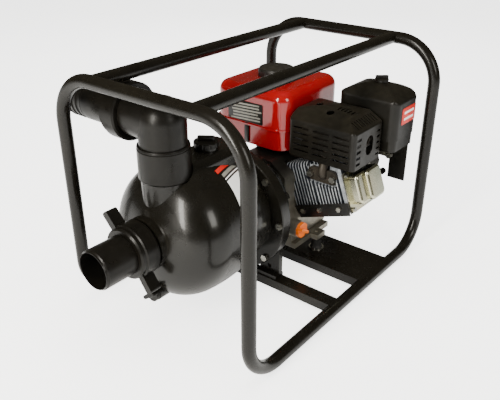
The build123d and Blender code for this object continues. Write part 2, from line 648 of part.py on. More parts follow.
def cylinder_head():
    y_low = CYLINDER_Y - FIN_HALF_Y
    y_high = CYLINDER_Y + FIN_HALF_Y
    head = lean(finned((HEAD[0], HEAD[1] - 8), FIN_HALF_V, 40))
    head += lean(block((HEAD[1] - 10, HEAD[1]), (y_low + 3, y_high - 3), (-FIN_HALF_V - 14, 30)))
    head -= exhaust_recess()
    port_x, port_z = INTAKE
    head += block((port_x - 26, port_x + 26), (y_high - 16, y_high + 1), (port_z - 18, port_z + 18))
    head &= lean(block((HEAD[0], HEAD[1]), (0, 300), (-200, 200)))
    head -= lean(rod((HEAD[0] - 1, CYLINDER_Y, 0), "+x", BORE_R - 2, 9))
    head -= rod((EXHAUST[0] + 22, y_low - 2, EXHAUST[1]), "+y", 9, 48)
    head -= rod((INTAKE[0] + 8, y_high + 2, INTAKE[1]), "-y", 11, 34)
    head -= lean(block((HEAD[0] + 30, HEAD[1] + 1), (CYLINDER_Y - 26, CYLINDER_Y + 26), (-44, 4)))
    for y, v in valve_cover_bolt_places():
        head -= lean(rod((HEAD[1] - 8, y, v), "+x", 3, 10))
    return head


def valve_cover():
    """A pressed cover with a bolt flange; its face steps down from a tall half to a low half."""
    flange = block((HEAD[1] + 1.5, HEAD[1] + 4), COVER_Y, COVER_V)
    flange = fillet(flange.edges().filter_by(Axis.X), 14)
    tall = pressed_pad((COVER_Y[0] + 38, COVER_Y[1] - 9), VALVE_COVER_TOP, 0)
    low = pressed_pad((COVER_Y[0] + 10, COVER_Y[1] - 26), VALVE_COVER_TOP - 9, 0)
    cover = flange + tall + low
    cover -= pressed_pad((COVER_Y[0] + 38, COVER_Y[1] - 9), VALVE_COVER_TOP, 2)
    cover -= pressed_pad((COVER_Y[0] + 10, COVER_Y[1] - 26), VALVE_COVER_TOP - 9, 2)
    for y, v in valve_cover_bolt_places():
        cover -= rod((HEAD[1], y, v), "+x", 3, 10)
    return lean(cover)


def pressed_pad(y, top, wall):
    """One raised half of the valve cover, or its inside when wall is the sheet's thickness."""
    along = (HEAD[1] + (3 if wall == 0 else -1), top - wall)
    pad = block(along, (y[0] + wall, y[1] - wall), (COVER_V[0] + 14 + wall, COVER_V[1] - 5 - wall))
    pad = fillet(pad.edges().filter_by(Axis.X), 12 - wall)
    return fillet(pad.faces().sort_by(Axis.X)[-1].edges(), 6 - wall)


def valve_cover_bolt_places():
    return [
        (y, across)
        for across in (COVER_V[0] + 8, COVER_V[1] - 6.5)
        for y in (COVER_Y[0] + 8, COVER_Y[1] - 7)
    ]


def engine_gaskets():
    """Head gasket, valve cover gasket and the carburettor's heat spacer."""
    fins_low = CYLINDER_Y - FIN_HALF_Y + 9
    head_gasket = block((BLOCK_FINS[1], HEAD[0]), (fins_low, CYLINDER_Y + FIN_HALF_Y - 9), (-40, 40))
    head_gasket -= rod((0, CYLINDER_Y, 0), "+x", BORE_R, 200)
    head_gasket = lean(head_gasket) - exhaust_recess()
    cover_gasket = block((HEAD[1], HEAD[1] + 1.5), COVER_Y, COVER_V)
    cover_gasket -= block((HEAD[1] - 1, HEAD[1] + 3), (COVER_Y[0] + 18, COVER_Y[1] - 18), (-46, 6))
    for y, v in valve_cover_bolt_places():
        cover_gasket -= rod((HEAD[1] - 1, y, v), "+x", 3, 10)
    port_y = CYLINDER_Y + FIN_HALF_Y + 1
    spacer = block((INTAKE[0] - 12, INTAKE[0] + 28), (port_y, port_y + 7), (INTAKE[1] - 16, INTAKE[1] + 16))
    spacer -= rod((INTAKE[0] + 8, port_y - 1, INTAKE[1]), "+y", 11, 10)
    return parts_of([head_gasket, lean(cover_gasket), spacer])


def side_shield():
    """Folded sheet under the fins: a floor that guides cooling air and a lip that faces the pump."""
    y_low = CYLINDER_Y - FIN_HALF_Y
    floor_v = (-FIN_HALF_V - 20, -FIN_HALF_V - 18)
    floor = block((48, HEAD[1] - 11), (y_low - 4, CYLINDER_Y + FIN_HALF_Y), floor_v)
    lip = block((48, HEAD[1] + 1), (y_low - 4, y_low - 2), (-FIN_HALF_V - 20, -FIN_HALF_V + 8))
    lip = chamfer(lip.edges().filter_by(Axis.Y).sort_by(lambda e: e.center().X - e.center().Z)[0], 8)
    shield = floor + lip
    for along in SHIELD_BOLTS:
        shield -= rod((along, y_low - 5, SHIELD_BOLT_V), "+y", 2.5, 10)
    return lean(shield)


def engine_block_pieces():
    y_low = CYLINDER_Y - FIN_HALF_Y
    pieces = engine_mounts()
    pieces["crankcase"] = crankcase()
    pieces["crankcase_cover"] = crankcase_cover() - pieces["crankcase"]
    pieces["oil_cap"] = oil_cap()
    pieces["drain_bolt"] = bolt((DRAIN_BOLT[0], PTO_Y + 12, DRAIN_BOLT[1]), "-y", 14, 8, 5, 6)
    pieces["cylinder_barrel"] = cylinder_barrel() - pieces["crankcase"]
    pieces["cylinder_head"] = cylinder_head()
    pieces["valve_cover"] = valve_cover()
    pieces["valve_cover_bolts"] = parts_of(
        lean(bolt((HEAD[1] + 4, y, v), "+x", 8, 6, 3, 8)) for y, v in valve_cover_bolt_places())
    pieces["engine_gaskets"] = engine_gaskets()
    pieces["side_shield"] = side_shield() - pieces["crankcase"]
    small = [lean(bolt((along, y_low - 4, SHIELD_BOLT_V), "-y", 10, 5, 2.5, 3)) for along in SHIELD_BOLTS]
    for x in (EXHAUST[0] - 27, EXHAUST[0] + 28):
        small.append(bolt((x, RECESS_Y - 8, EXHAUST[1]), "-y", 13, 9, 4, 8))
    for x, y in GUARD_SCREWS:
        small.append(bolt((x, y, GUARD_SCREW_Z), "+z", 10, 5, 3, 2.5))
    pieces["small_bolts"] = parts_of(small)
    return pieces


# ---------------------------------------------------------------- engine moving parts


def crankshaft():
    """Output shaft, journals, two webs with the pin between them, and the flywheel end."""
    shaft = rod((SHAFT_X, FLANGE_Y - 38, SHAFT_Z), "+y", SHAFT_R, 90)
    shaft += rod((SHAFT_X, PTO_Y - 16, SHAFT_Z), "+y", 17.5 - RUNNING, 78)
    shaft += rod((SHAFT_X, PTO_Y + 60, SHAFT_Z), "+y", 14, 16)
    shaft += rod((SHAFT_X, CYLINDER_Y + 14, SHAFT_Z), "+y", 17.5 - RUNNING, 45)
    shaft += rod((SHAFT_X, CRANKCASE_END_Y - 4, SHAFT_Z), "+y", 12, 48)
    pin = lean(rod((STROKE / 2, CYLINDER_Y - 26, 0), "+y", 12, 52))
    for y in (CYLINDER_Y - 28, CYLINDER_Y + 14):
        web = block((-34, STROKE / 2 + 12), (y, y + 14), (-22, 22))
        shaft += lean(fillet(web.edges().filter_by(Axis.Y), 14))
    return shaft + pin


def flywheel():
    """Rim, blades and hub of the fan flywheel."""
    y0, y1 = FLYWHEEL_Y
    wheel = rod((SHAFT_X, y0, SHAFT_Z), "+y", FLYWHEEL_R, 10)
    wheel += rod((SHAFT_X, y0, SHAFT_Z), "+y", 28, y1 - y0)
    for i in range(16):
        blade = block((58, FLYWHEEL_R - 2), (y0 + 9, y1), (-1.5, 1.5))
        wheel += Pos(SHAFT_X, 0, SHAFT_Z) * Rot(0, i * 22.5, 0) * blade
    wheel += pipe((SHAFT_X, y1 - 1, SHAFT_Z), "+y", 38, 34, 12)
    wheel += rod((SHAFT_X, y1 - 3, SHAFT_Z), "+y", 38, 3)
    return wheel - rod((SHAFT_X, y0 - 1, SHAFT_Z), "+y", 12, 60)


def piston():
    """Piston at the top of its stroke, with ring grooves and its pin boss."""
    crown = PISTON_TOP
    skirt_r = BORE_R - RUNNING
    groove_r = BORE_R - 1.5
    profile = [(0, 0), (skirt_r, 0)]
    for start in (5, 10, 15):
        profile += [(skirt_r, start), (groove_r, start), (groove_r, start + 2), (skirt_r, start + 2)]
    profile += [(skirt_r, 30), (BORE_R - 5, 30), (BORE_R - 5, 8), (0, 8)]
    body = turned((crown, CYLINDER_Y, 0), "-x", profile)
    return lean(body)


def engine_moving_pieces():
    return {
        "crankshaft": crankshaft(),
        "flywheel": flywheel(),
        "piston": piston(),
        "recoil_pulley": pipe((SHAFT_X, 250, SHAFT_Z), "+y", 58, 8, 18)
        - pipe((SHAFT_X, 254, SHAFT_Z), "+y", 60, 50, 10),
    }


# ---------------------------------------------------------------- engine furniture
def fan_shroud():
    """The housing round the flywheel, open towards the engine and to the recoil starter."""
    y0, y1 = SHROUD_Y
    z = (66.0, 254.0)
    body = soft_shroud((-148.0, 62.0), (y0, y1), z, 40)
    body -= soft_shroud((-145.0, 59.0), (y0 - 1, y1 - 3), (69.0, 251.0), 37)
    body -= rod((SHAFT_X, y1 - 10, SHAFT_Z), "+y", 74, 20)
    return body + rod((THROTTLE_PIVOT[0], y1 - 2, THROTTLE_PIVOT[2]), "+y", PIVOT_R - RUNNING, 14)


def soft_shroud(x, y, z, corner):
    body = block(x, y, z)
    return fillet(body.edges().filter_by(Axis.Y), corner)


def recoil_cover():
    """Domed cover with a grille of slots, a rope eye and the pulley's pin."""
    y0, y1 = RECOIL_Y
    depth = y1 - y0
    cover = turned(
        (SHAFT_X, y0, SHAFT_Z), "+y",
        [
            (0, depth - 3), (66, depth - 3), (76, depth - 14), (76, 0), (80, 0), (80, depth - 13),
            (68, depth), (0, depth),
        ])
    for i in range(18):
        slot = block((42, 62), (y1 - 10, y1 + 2), (-3, 3))
        cover -= Pos(SHAFT_X, 0, SHAFT_Z) * Rot(0, i * 20, 0) * slot
    cover += rod((SHAFT_X, 249, SHAFT_Z), "+y", 8 - RUNNING, y1 - 250)
    x, y, z = GRIP_BASE
    cover += block((x, SHAFT_X - 76), (y - 12, y + 12), (z - 12, z + 12))
    return cover - rod((x - 1, y, z), "+x", 4, 32)


def starter_grip():
    """The pull handle that rests against the rope eye."""
    bar = soft_block((-38, 38), (-9, 9), (6, 24), 8, 5)
    grip = bar + Pos(0, 0, 0.3) * Cylinder(8, 8, align=UPWARD)
    return Pos(*GRIP_BASE) * Rot(0, -90, 0) * grip


def fuel_tank():
    """Two pressed halves joined at a seam flange, hollow, with the filler neck."""
    (x0, x1), (y0, y1), (z0, z1) = TANK_X, TANK_Y, TANK_Z
    upper = soft_block(TANK_X, TANK_Y, (SEAM_Z, z1), 34, 22)
    lower = soft_block((x0 + 2, x1 - 2), (y0 + 2, y1 - 2), (z0, SEAM_Z), 32)
    seam = soft_block((x0 - 4, x1 + 2), (y0 - 4, y1 + 4), (SEAM_Z - 1.5, SEAM_Z + 1.5), 37)
    body = upper + lower + seam
    body += rod((*FILLER, z1 - 10), "+z", 30, 16)
    body -= soft_block((x0 + 4, x1 - 4), (y0 + 4, y1 - 4), (z0 + 2, z1 - 2), 30, 20)
    return body - rod((*FILLER, z1 - 12), "+z", 26, 30)


def fuel_cap():
    x, y = FILLER
    z = TANK_Z[1] + 6
    cap = turned(
        (x, y, z), "+z",
        [(0, 0), (34, 0), (34, -6), (40, -6), (41, -4), (41, 8), (38, 13), (24, 16), (0, 17)])
    for i in range(12):
        cap -= Pos(x, y, z) * Rot(0, 0, i * 30) * rod((43.5, 0, -8), "+z", 4, 22)
    return cap


def tank_brackets():
    """Two folded feet that carry the tank on the crankcase."""
    feet = []
    for y in (92.0, 150.0):
        foot = block((SHAFT_X - 50, SHAFT_X - 10), (y, y + 14), (244, TANK_Z[0]))
        feet.append(foot)
    return parts_of(feet)


def muffler():
    """Pressed can with a seam, its exhaust pipe and port flange, and an outlet spout."""
    x, y, z = (28.0, 158.0), (92.0, 178.0), (280.0, 329.0)
    can = block(x, y, z)
    can = fillet(can.edges(), 14)
    seam = block((x[0] - 2, x[1] + 2), (132, 135), (z[0] - 2, z[1] + 2))
    can += fillet(seam.edges().filter_by(Axis.Y), 15)
    can += rod((x[1] - 4, 136, 306), "+x", 11, 10)
    can -= rod((x[1] - 10, 136, 306), "+x", 8, 20)
    port_x, port_z = EXHAUST
    flange = block((port_x - 35, port_x + 37), (RECESS_Y - 8, RECESS_Y), (port_z - 15, port_z + 15))
    can += fillet(flange.edges().filter_by(Axis.Y), 12)
    for bolt_x in (EXHAUST[0] - 27, EXHAUST[0] + 28):
        can -= rod((bolt_x, RECESS_Y - 9, EXHAUST[1]), "+y", 4, 12)
    port_x = EXHAUST[0] + 2
    path = FilletPolyline(
        (port_x, RECESS_Y - 1, EXHAUST[1]), (port_x, RECESS_Y - 12, EXHAUST[1]),
        (port_x, RECESS_Y - 12, EXHAUST[1] + 13), (port_x, RECESS_Y + 10, 290), radius=[9.8, 14])
    section = Plane(origin=path @ 0, z_dir=path % 0) * Circle(9.5)
    return can + sweep(section, path)


def crowned_form(x, y, z, sides, corner, edge, inset):
    """A box with rounded upright corners and a top that is crowned both ways.

    sides gives how far the top drops at low X, high X, low Y and high Y.  inset is the wall's
    thickness when the form is the inside of a shell.
    """
    x0, x1 = x[0] + inset, x[1] - inset
    y0, y1 = y[0] + inset, y[1] - inset
    z0, z1 = z[0] - (1 if inset else 0), z[1] - inset
    with BuildSketch(Plane.XZ) as across:
        with BuildLine():
            Polyline((x0, z1 - sides[0]), (x0, z0), (x1, z0), (x1, z1 - sides[1]))
            ThreePointArc((x1, z1 - sides[1]), ((x0 + x1) / 2, z1), (x0, z1 - sides[0]))
        make_face()
    with BuildSketch(Plane.YZ) as lengthways:
        with BuildLine():
            Polyline((y0, z1 - sides[2]), (y0, z0), (y1, z0), (y1, z1 - sides[3]))
            ThreePointArc((y1, z1 - sides[3]), ((y0 + y1) / 2, z1), (y0, z1 - sides[2]))
        make_face()
    form = Pos(0, y1, 0) * extrude(across.sketch, y1 - y0)
    form &= Pos(x0, 0, 0) * extrude(lengthways.sketch, x1 - x0)
    return rounded(form, corner - inset, edge - inset, z0 + 20)


def rounded(form, corner, edge, above):
    """Rounds form's upright edges, then every other edge whose middle is higher than above."""
    uprights = [e for e in form.edges() if is_upright(e)]
    form = fillet(uprights, corner)
    return fillet([e for e in form.edges() if e.center().Z > above and not is_upright(e)], edge)


def is_upright(edge):
    start, end = edge @ 0, edge @ 1
    return abs(start.X - end.X) < 0.01 and abs(start.Y - end.Y) < 0.01


def guard_form(inset):
    """The heat guard's outside, or its inside when inset is the sheet's thickness."""
    x0, x1 = MUFFLER_X[0] + inset, MUFFLER_X[1] - inset
    y0, y1 = MUFFLER_Y[0] + inset, MUFFLER_Y[1] - inset
    z0 = MUFFLER_Z[0] - (1 if inset else 0)
    z1 = MUFFLER_Z[1] - inset
    with BuildSketch(Plane.XZ) as across:
        with BuildLine():
            Polyline((x0, z1 - 8), (x0, z0), (x1, z0), (x1, z1 - 25), (x1 - STRIP, z1 - 6))
            ThreePointArc((x1 - STRIP, z1 - 6), (x0 + 66, z1), (x0, z1 - 8))
        make_face()
    with BuildSketch(Plane.YZ) as lengthways:
        with BuildLine():
            Polyline((y0, z1 - 24), (y0, z0), (y1, z0), (y1, z1 - 8))
            ThreePointArc((y1, z1 - 8), (y1 - 44, z1), (y0, z1 - 24))
        make_face()
    form = Pos(0, y1, 0) * extrude(across.sketch, y1 - y0)
    form &= Pos(x0, 0, 0) * extrude(lengthways.sketch, x1 - x0)
    return rounded(form, 10 - inset, 5 - inset, z0 + 20)


def muffler_cover():
    """Heat guard: an open-bottomed shell with cooling slots on its top and two sides."""
    shell = guard_form(0) - guard_form(GUARD_T)
    for cut in guard_slots():
        shell -= cut
    return shell


def guard_slots():
    """Cutting tools for the louvres, the outlet oval, the top slots and the two screw wells."""
    (x0, x1), (y0, y1), (z0, z1) = MUFFLER_X, MUFFLER_Y, MUFFLER_Z
    cuts = []
    for column in range(3):
        for row in range(5):
            x = x0 + 14 + column * 48
            z = z0 + 14 + row * 12.5
            cuts.append(block((x, x + 38), (y0 - 1, y0 + 4), (z, z + 3.6)))
    for row in range(5):
        z = z0 + 9 + row * 13
        cuts.append(block((x1 - 4, x1 + 1), (y0 + 10, y0 + 26), (z, z + 6)))
        cuts.append(block((x1 - 4, x1 + 1), (y1 - 24, y1 - 12), (z, z + 5)))
    oval = extrude(SlotOverall(42, 28), 10)
    middle = ((y0 + y1) / 2 + 4, z0 + 41)
    cuts.append(Pos(x1 - 5, middle[0], middle[1]) * Rot(0, 90, 0) * oval)
    slope = degrees(atan2(19, STRIP))
    for i in range(9):
        y = y0 + 26 + i * 9.2
        slot = Pos(x1 - STRIP / 2, y, z1 - 16) * Rot(0, slope, 0) * Box(STRIP - 12, 3.4, 12)
        cuts.append(slot)
    for i in range(5):
        x = x0 + 84 + i * 8
        cuts.append(block((x, x + 3.4), (y1 - 62, y1 - 44), (z1 - 8, z1 + 2)))
    for x, y in GUARD_SCREWS:
        cuts.append(rod((x, y, z1 - 20), "+z", 8, 30))
    return cuts


def filter_form(inset):
    """The air cleaner cover's outside or inside."""
    return crowned_form(FILTER_X, FILTER_Y, FILTER_Z, (22, 26, 24, 18), 18, 8, inset)


def air_cleaner():
    x, y, z = FILTER_X, FILTER_Y, FILTER_Z
    cover = filter_form(0) - filter_form(3)
    cover -= rod((KNOB[0], KNOB[1], z[1] - 12), "+z", 3 + RUNNING, 20)
    base = soft_block((x[0] + 4, x[1] - 2), (y[0] + 4, y[1] - 2), (z[0] - 26, z[0]), 14)
    base -= soft_block((x[0] + 7, x[1] - 5), (y[0] + 7, y[1] - 5), (z[0] - 23, z[0] + 1), 11)
    base += block((x[1] - 44, x[1] - 4), (y[1] - 22, y[1] - 18), (176, z[0] - 24))
    element = soft_block((x[0] + 22, x[1] - 22), (y[0] + 18, y[1] - 18), (z[0] - 22.9, z[1] - 26), 20)
    element -= soft_block((x[0] + 34, x[1] - 34), (y[0] + 30, y[1] - 30), (z[0] - 24, z[1] - 10), 12)
    knob = turned(
        (KNOB[0], KNOB[1], z[1] + 0.4), "+z",
        [(0, -12), (3, -12), (3, 0), (15, 0), (15, 5), (12, 7), (0, 7)])
    wing = soft_block((-14, 14), (-4, 4), (5, 13), 3.5, 2)
    knob += Pos(KNOB[0], KNOB[1], z[1]) * Rot(0, 0, 40) * wing
    return {
        "air_cleaner_cover": cover,
        "air_cleaner_base": base,
        "filter_element": element,
        "filter_knob": knob,
    }


# ---------------------------------------------------------------- controls


def carburettor():
    """Throat along Y with its float bowl below, a flange and a duct up to the air cleaner."""
    y0, y1 = CARB_Y
    body = rod((CARB_X, y0, CARB_Z), "+y", 19, y1 - y0)
    body += block((CARB_X - 22, CARB_X + 22), (y0, y0 + 8), (CARB_Z - 18, CARB_Z + 18))
    middle = (y0 + y1) / 2
    body += rod((CARB_X, middle, CARB_Z - 46), "+z", 21, 34)
    body += block((CARB_X - 16, CARB_X + 24), (middle - 18, middle + 18), (CARB_Z - 14, CARB_Z + 22))
    body += rod((CARB_X, y1 - 10, CARB_Z), "+y", 24, 10)
    body += rod((CARB_X, y1 - 14, CARB_Z + 10), "+z", 17, FILTER_Z[0] - 26 - CARB_Z - 10)
    body -= rod((CARB_X, y0 - 1, CARB_Z), "+y", 11, y1 - y0 - 8)
    return body - rod((CARB_X, y1 - 14, CARB_Z), "+z", 12, 80)


def lever(pivot, bore, reach, angle, width=9.0):
    """A flat lever in a plane across Y, with a hub on its pivot and a rounded grip."""
    arm = block((0, reach), (0, 3), (-width / 2, width / 2))
    grip = rod((reach, -3, 0), "+y", width / 2 + 2.5, 9)
    hub = rod((0, 0, 0), "+y", width / 2 + 2, 7)
    shape = arm + grip + hub - rod((0, -1, 0), "+y", bore, 12)
    return Pos(*pivot) * Rot(0, -angle, 0) * shape


def control_pieces():
    """Carburettor, levers and the engine switch with their pivots."""
    carb = carburettor()
    for pivot in (CHOKE, FUEL_VALVE):
        carb += block(
            (pivot[0] - 6, pivot[0] + 6), (CARB_Y[1] - 32, CARB_Y[1]), (pivot[2] - 6, pivot[2] + 6))
        carb += rod((pivot[0], CARB_Y[1] - 1, pivot[2]), "+y", PIVOT_R - RUNNING, 12)
    carb -= rod((CARB_X, CARB_Y[0] - 1, CARB_Z), "+y", 11, CARB_Y[1] - CARB_Y[0] - 8)
    carb -= rod((CARB_X, CARB_Y[1] - 14, CARB_Z), "+z", 12, 80)
    return {
        "carburettor": carb,
        "choke_lever": lever(CHOKE, PIVOT_R, 30, 0),
        "fuel_valve_lever": lever(FUEL_VALVE, PIVOT_R, 26, 0),
        "throttle_lever": lever(THROTTLE_PIVOT, PIVOT_R, 32, 70),
        "engine_switch": engine_switch(),
    }


def engine_switch():
    knob = rod((0, 0, 0), "+y", 12, 6) + block((-3, 3), (5, 15), (-11, 11))
    return Pos(*SWITCH) * knob


def pieces_in_place():
    pieces = {}
    pieces.update(frame_pieces())
    pieces.update(pump_pieces())
    pieces.update(engine_block_pieces())
    pieces.update(engine_moving_pieces())
    pieces["fan_shroud"] = fan_shroud()
    pieces["recoil_cover"] = recoil_cover()
    pieces["starter_grip"] = starter_grip()
    pieces["fuel_tank"] = fuel_tank()
    pieces["fuel_cap"] = fuel_cap()
    pieces["tank_brackets"] = tank_brackets()
    pieces["muffler"] = muffler()
    pieces["muffler_cover"] = muffler_cover()
    pieces.update(air_cleaner())
    pieces.update(control_pieces())
    return pieces


def write_pieces():
    os.makedirs("parts", exist_ok=True)
    x_low, x_high = DISCHARGE_MOUTH_X, FRAME_WIDTH / 2 + TUBE_OD / 2
    y_low, y_high = TAIL_MOUTH_Y, FRAME_LENGTH / 2 + TUBE_OD / 2
    to_origin = Pos(-(x_low + x_high) / 2, -(y_low + y_high) / 2, 0)
    for name, shape in pieces_in_place().items():
        export_step(to_origin * shape, f"parts/{name}.step")


write_pieces()
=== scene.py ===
# Looks, labels, stage and light for the portable fire pump, built round its CAD pieces, in metres.
import json
import math

import bmesh
import bpy
from mathutils import Matrix, Vector


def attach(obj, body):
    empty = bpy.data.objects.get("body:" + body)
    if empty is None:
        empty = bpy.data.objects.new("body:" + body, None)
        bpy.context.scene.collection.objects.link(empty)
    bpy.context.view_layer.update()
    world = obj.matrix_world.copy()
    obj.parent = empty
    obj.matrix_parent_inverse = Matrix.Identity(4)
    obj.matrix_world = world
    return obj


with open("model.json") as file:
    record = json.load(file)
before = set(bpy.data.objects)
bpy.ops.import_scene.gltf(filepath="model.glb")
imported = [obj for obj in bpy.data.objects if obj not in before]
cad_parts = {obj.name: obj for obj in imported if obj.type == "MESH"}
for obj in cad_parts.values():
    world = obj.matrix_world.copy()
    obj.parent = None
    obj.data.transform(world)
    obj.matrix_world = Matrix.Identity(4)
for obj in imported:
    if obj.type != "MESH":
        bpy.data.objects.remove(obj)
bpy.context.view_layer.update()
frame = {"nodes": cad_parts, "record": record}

SHIFT = Vector((0.0229, 0.04565, 0.0))
SHAFT_X, SHAFT_Z = -0.040 + SHIFT.x, 0.160


# ---------------------------------------------------------------- materials
class Shader:
    """A node material in the making."""

    def __init__(self, name):
        self.material = bpy.data.materials.new(name)
        self.material.use_nodes = True
        self.tree = self.material.node_tree
        self.tree.nodes.clear()
        self.output = self.node("ShaderNodeOutputMaterial")
        self.surface = self.node("ShaderNodeBsdfPrincipled")
        self.link(self.surface, "BSDF", self.output, "Surface")
        self.coordinates = self.node("ShaderNodeTexCoord")

    def node(self, kind, **values):
        made = self.tree.nodes.new(kind)
        for key, value in values.items():
            setattr(made, key, value)
        return made

    def link(self, source, output, target, name):
        self.tree.links.new(source.outputs[output], target.inputs[name])

    def noise(self, scale, detail=4.0, roughness=0.55, stretch=(1, 1, 1)):
        mapping = self.node("ShaderNodeMapping")
        mapping.inputs["Scale"].default_value = stretch
        self.link(self.coordinates, "Object", mapping, "Vector")
        made = self.node("ShaderNodeTexNoise")
        made.inputs["Scale"].default_value = scale
        made.inputs["Detail"].default_value = detail
        made.inputs["Roughness"].default_value = roughness
        self.link(mapping, "Vector", made, "Vector")
        return made

    def ranged(self, source, output, low, high, from_low=0.3, from_high=0.7):
        made = self.node("ShaderNodeMapRange")
        made.inputs["From Min"].default_value = from_low
        made.inputs["From Max"].default_value = from_high
        made.inputs["To Min"].default_value = low
        made.inputs["To Max"].default_value = high
        self.link(source, output, made, "Value")
        return made

    def mix(self, first, second, factor, output="Result"):
        """Mixes two colours, each a tuple or a (node, output) pair."""
        made = self.node("ShaderNodeMix", data_type="RGBA")
        for slot, value in ((6, first), (7, second)):
            if isinstance(value[0], (int, float)):
                made.inputs[slot].default_value = (*value[:3], 1.0)
            else:
                self.tree.links.new(value[0].outputs[value[1]], made.inputs[slot])
        self.tree.links.new(factor.outputs[output], made.inputs[0])
        return made

    def upward(self, low=0.55, high=1.0, strength=1.0):
        """How far a face looks up, as a mask."""
        geometry = self.node("ShaderNodeNewGeometry")
        split = self.node("ShaderNodeSeparateXYZ")
        self.link(geometry, "Normal", split, "Vector")
        return self.ranged(split, "Z", 0.0, strength, low, high)

    def bump(self, source, output, strength, distance=0.0006, before=None):
        made = self.node("ShaderNodeBump")
        made.inputs["Strength"].default_value = strength
        made.inputs["Distance"].default_value = distance
        self.link(source, output, made, "Height")
        if before:
            self.link(before, "Normal", made, "Normal")
        return made


def linear(value):
    return value / 12.92 if value <= 0.04045 else ((value + 0.055) / 1.055) ** 2.4


def rgb(hex_text):
    return tuple(linear(int(hex_text[i:i + 2], 16) / 255) for i in (0, 2, 4))


def paint(name, color, shade, rough, metal=0.0, coat=0.0, patch=14.0, grain=900.0, grain_depth=0.08,
          wave=0.0, dust=0.0, dust_color="8a8272", specular=0.5, stretch=(1, 1, 1), marks=0.25, painted_shade_above=None):
    """Soft colour patches, fine grain, gloss changes, dust on what faces up, painted shade above a height."""
    made = Shader(name)
    patches = made.noise(patch, 5.0)
    factor = made.ranged(patches, "Fac", 0.0, 1.0)
    color_mix = made.mix(rgb(color), rgb(shade), factor)
    if dust:
        settled = made.upward(0.35, 1.0, dust)
        speckle = made.noise(patch * 6, 6.0)
        spread = made.node("ShaderNodeMath", operation="MULTIPLY")
        made.link(settled, "Result", spread, 0)
        made.link(made.ranged(speckle, "Fac", 0.2, 1.0), "Result", spread, 1)
        color_mix = made.mix((color_mix, 2), rgb(dust_color), spread, "Value")
    # Painted shade: above the given height the colour darkens towards 1c1a17, a painted shadow over the upper
    # crankcase.
    if painted_shade_above:
        split = made.node("ShaderNodeSeparateXYZ")
        made.link(made.coordinates, "Object", split, "Vector")
        color_mix = made.mix((color_mix, 2), rgb("1c1a17"), made.ranged(split, "Z", 0.0, 0.9, *painted_shade_above))
    made.tree.links.new(color_mix.outputs[2], made.surface.inputs["Base Color"])
    smudges = made.noise(patch * 2.3, 6.0, 0.65)
    gloss = made.ranged(smudges, "Fac", max(0.02, rough * (1 - marks)), min(1.0, rough * (1 + marks)))
    made.link(gloss, "Result", made.surface, "Roughness")
    made.surface.inputs["Metallic"].default_value = metal
    made.surface.inputs["Specular IOR Level"].default_value = specular
    made.surface.inputs["Coat Weight"].default_value = coat
    made.surface.inputs["Coat Roughness"].default_value = 0.06
    fine = made.noise(grain, 3.0, 0.6, stretch)
    normal = made.bump(fine, "Fac", grain_depth, 0.0004)
    if wave:
        slow = made.noise(patch * 1.6, 2.0)
        normal = made.bump(slow, "Fac", wave, 0.004, normal)
    made.link(normal, "Normal", made.surface, "Normal")
    return made.material


def finned_alloy():
    """Painted cooling fins: their faces dark, partly for the paint and partly as painted shade in the gaps
    between them, with bare pale tips.
    """
    made = Shader("fin_alloy")
    geometry = made.node("ShaderNodeNewGeometry")
    along = made.node("ShaderNodeVectorMath", operation="DOT_PRODUCT")
    along.inputs[1].default_value = (math.cos(math.radians(20)), 0.0, math.sin(math.radians(20)))
    made.link(geometry, "Normal", along, 0)
    size = made.node("ShaderNodeMath", operation="ABSOLUTE")
    made.link(along, "Value", size, 0)
    # Painted shade: faces square to the fins' tilted normal (the walls of the gaps between fins) get the dark
    # 23272f, partly the paint's colour and partly painted shade between the fins.
    gap_shade = made.ranged(size, "Value", 0.0, 1.0, 0.3, 0.8)
    wear = made.ranged(made.noise(60.0, 6.0, 0.7), "Fac", 0.0, 1.0, 0.35, 0.65)
    tips = made.mix(rgb("b9bdc0"), rgb("70757d"), wear)
    colour = made.mix((tips, 2), rgb("23272f"), gap_shade)
    made.tree.links.new(colour.outputs[2], made.surface.inputs["Base Color"])
    made.surface.inputs["Metallic"].default_value = 0.35
    gloss = made.ranged(made.noise(30.0, 5.0), "Fac", 0.34, 0.55)
    made.link(gloss, "Result", made.surface, "Roughness")
    normal = made.bump(made.noise(700.0, 3.0), "Fac", 0.2, 0.0004)
    made.link(normal, "Normal", made.surface, "Normal")
    return made.material


